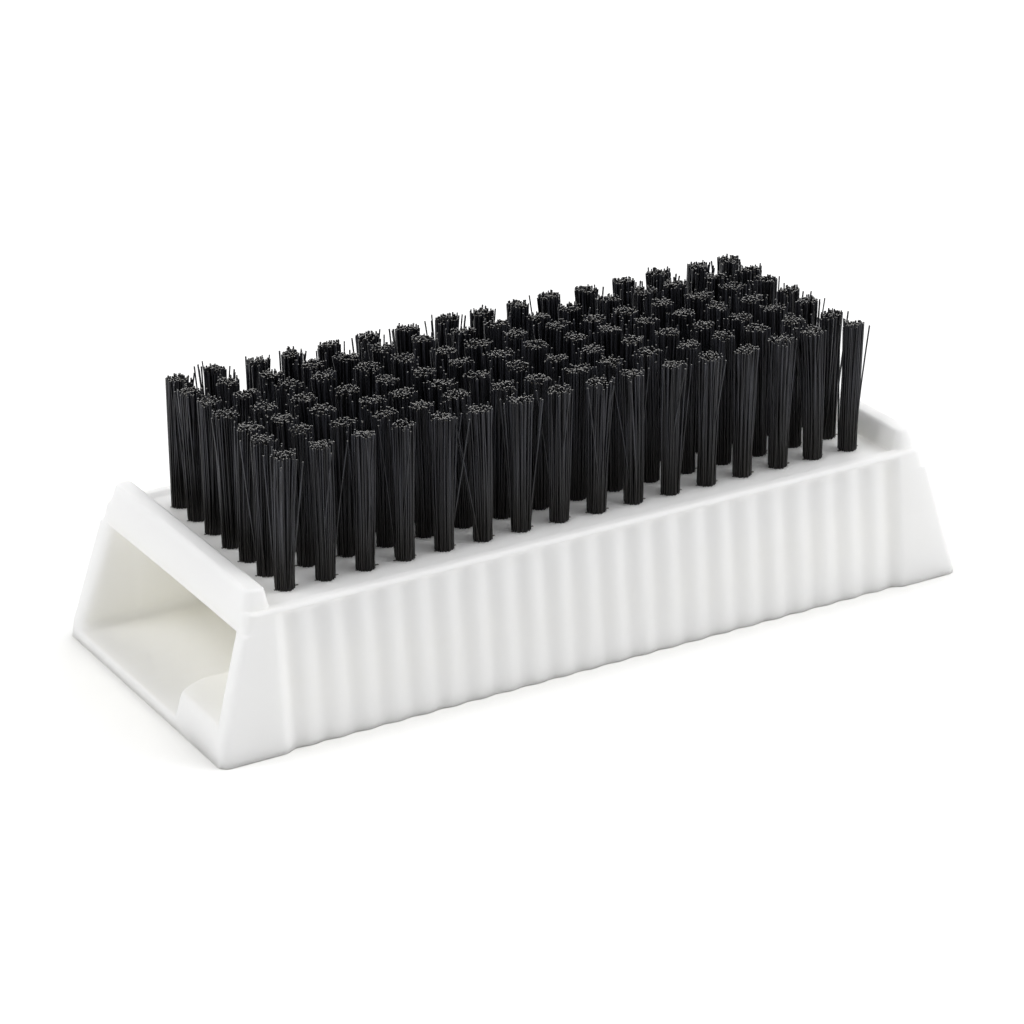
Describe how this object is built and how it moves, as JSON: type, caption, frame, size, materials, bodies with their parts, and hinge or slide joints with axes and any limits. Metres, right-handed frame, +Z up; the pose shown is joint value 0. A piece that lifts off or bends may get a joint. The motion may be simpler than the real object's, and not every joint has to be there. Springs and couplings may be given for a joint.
{
  "type": "wheel brush",
  "caption": "Hollow-bodied hand scrub brush: a tapered block with fluted long sides, raised end bars and an open tunnel, set with a dense grid of stiff bristle tufts.",
  "frame": {"origin": "middle of the flat underside", "axes": "+X along the brush, +Y across it away from the tunnel's rail, +Z up towards the bristle tips"},
  "size_m": [0.0948, 0.0382, 0.0306],
  "materials": {
    "white_plastic": "slightly warm white moulded plastic, satin, faintly translucent",
    "black_bristle": "black drawn nylon filament with pale cut tips"
  },
  "bodies": {
    "root": {"moulded_body": "white_plastic", "tuft_field_1": "black_bristle", "tuft_field_2": "black_bristle", "tuft_field_3": "black_bristle", "tuft_field_4": "black_bristle"}
  },
  "joints": []
}
